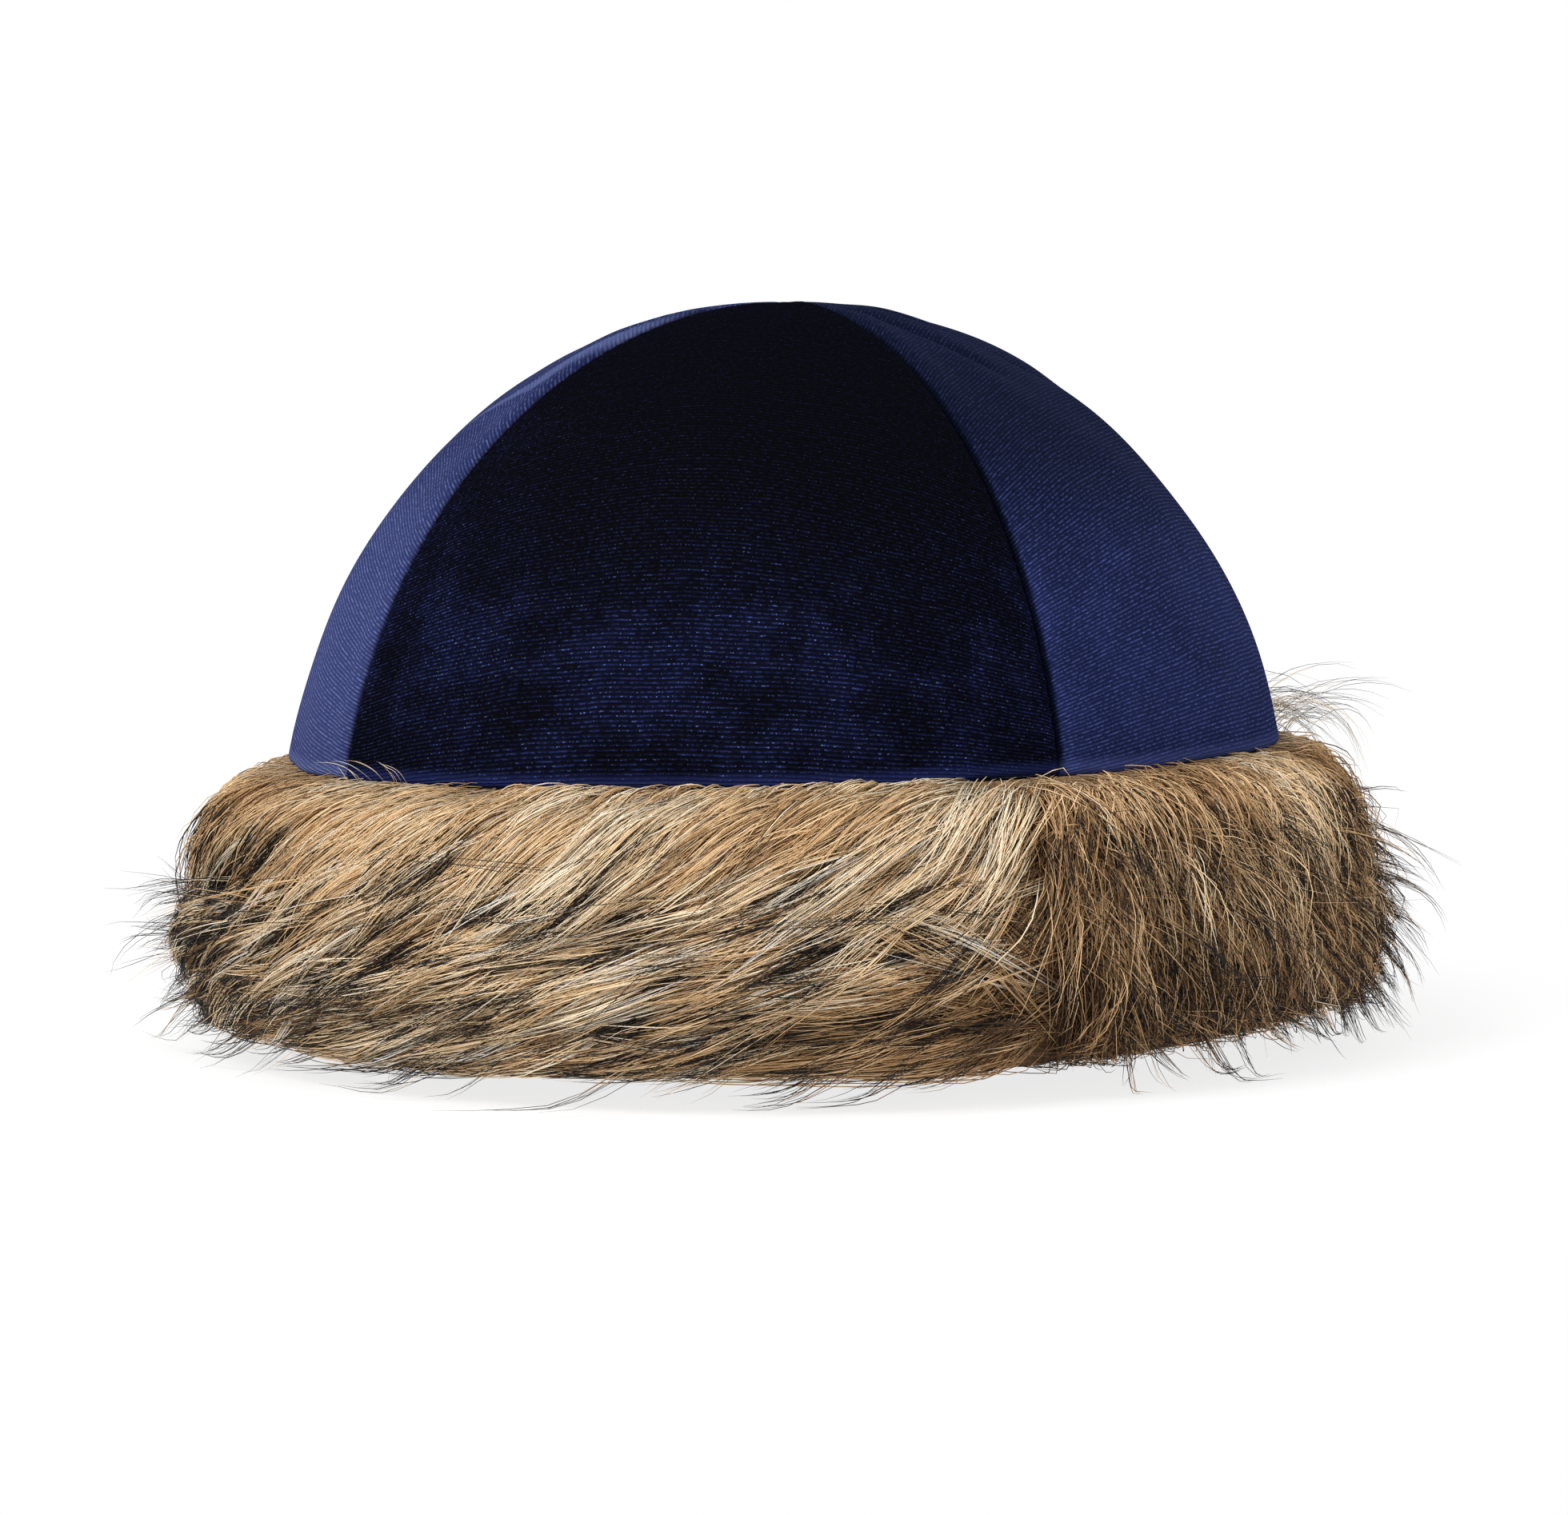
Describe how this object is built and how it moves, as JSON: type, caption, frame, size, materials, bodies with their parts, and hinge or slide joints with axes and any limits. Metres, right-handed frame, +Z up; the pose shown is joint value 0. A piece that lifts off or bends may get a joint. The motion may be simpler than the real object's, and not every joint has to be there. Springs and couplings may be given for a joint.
{
  "type": "fur-banded cap",
  "caption": "Round winter cap: a domed crown of ribbed velvet gores, wadded and lined, on a wide padded band of long faux fur with a ribbon sweatband.",
  "frame": {"origin": "on the plane that the fur band rests on, straight under the top of the crown", "axes": "+Z up through the crown, -Y towards the forehead, +X to the left of a wearer who faces -Y"},
  "size_m": [0.217, 0.245, 0.134],
  "materials": {
    "velvet": "ribbed velvet with a soft sheen",
    "fur": "long brushed faux-fur pile with dark tips",
    "fur_ground": "matt knitted ground",
    "wadding": "matt bonded wadding",
    "lining": "satin lining",
    "ribbon": "ribbed grosgrain ribbon",
    "thread": "spun sewing thread"
  },
  "bodies": {
    "root": {"shell_panel_front": "velvet", "crown_wadding_front": "wadding", "lining_panel_front": "lining", "shell_panel_right": "velvet", "crown_wadding_right": "wadding", "lining_panel_right": "lining", "shell_panel_back": "velvet", "crown_wadding_back": "wadding", "lining_panel_back": "lining", "shell_panel_left": "velvet", "crown_wadding_left": "wadding", "lining_panel_left": "lining", "crown_seam_thread_long": "thread", "lining_seam_thread_long": "thread", "crown_seam_thread_front_left": "thread", "lining_seam_thread_front_left": "thread", "crown_seam_thread_back_right": "thread", "lining_seam_thread_back_right": "thread", "apex_tack": "thread", "fur_pile_front_left": "fur", "fur_backing_front_left": "fur_ground", "fur_pile_back_right": "fur", "fur_backing_back_right": "fur_ground", "fur_join_thread_front": "thread", "fur_join_thread_back": "thread", "band_padding": "wadding", "band_facing": "lining", "hem_seam_thread": "thread", "sweatband": "ribbon", "sweatband_stitching": "thread"}
  },
  "joints": []
}
